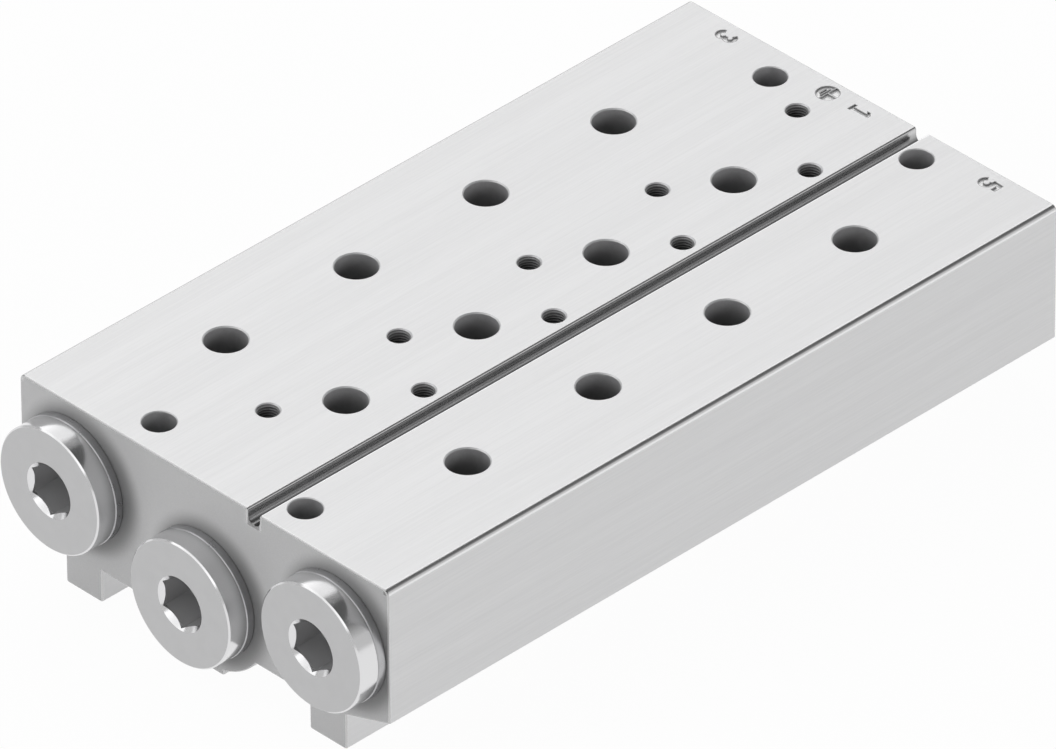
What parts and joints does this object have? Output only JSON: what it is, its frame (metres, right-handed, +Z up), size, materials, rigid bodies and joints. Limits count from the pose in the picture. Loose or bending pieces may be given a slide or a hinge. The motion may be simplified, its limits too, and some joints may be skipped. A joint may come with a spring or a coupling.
{
  "type": "valve connection block",
  "caption": "Extruded metal manifold rail with valve holes, tapped screw holes and a groove on its top face, three channels and three hex socket screw plugs on one end.",
  "frame": {"origin": "middle of the rail's length and width, on the plane of its feet", "axes": "+Z up to the valve face, +Y along the rail from the plugged end to the open end, +X across the rail from port 3 to port 5"},
  "size_m": [0.081, 0.1502, 0.0345],
  "materials": {
    "rail_aluminium": "fine brushed, clear anodised",
    "plated_steel": "plated, smooth turned",
    "ring_aluminium": "plain turned"
  },
  "bodies": {
    "root": {"valve_block_body": "rail_aluminium", "screw_plug_port_3": "plated_steel", "screw_plug_port_1": "plated_steel", "screw_plug_port_5": "plated_steel", "sealing_ring_port_3": "ring_aluminium", "sealing_ring_port_1": "ring_aluminium", "sealing_ring_port_5": "ring_aluminium"}
  },
  "joints": []
}
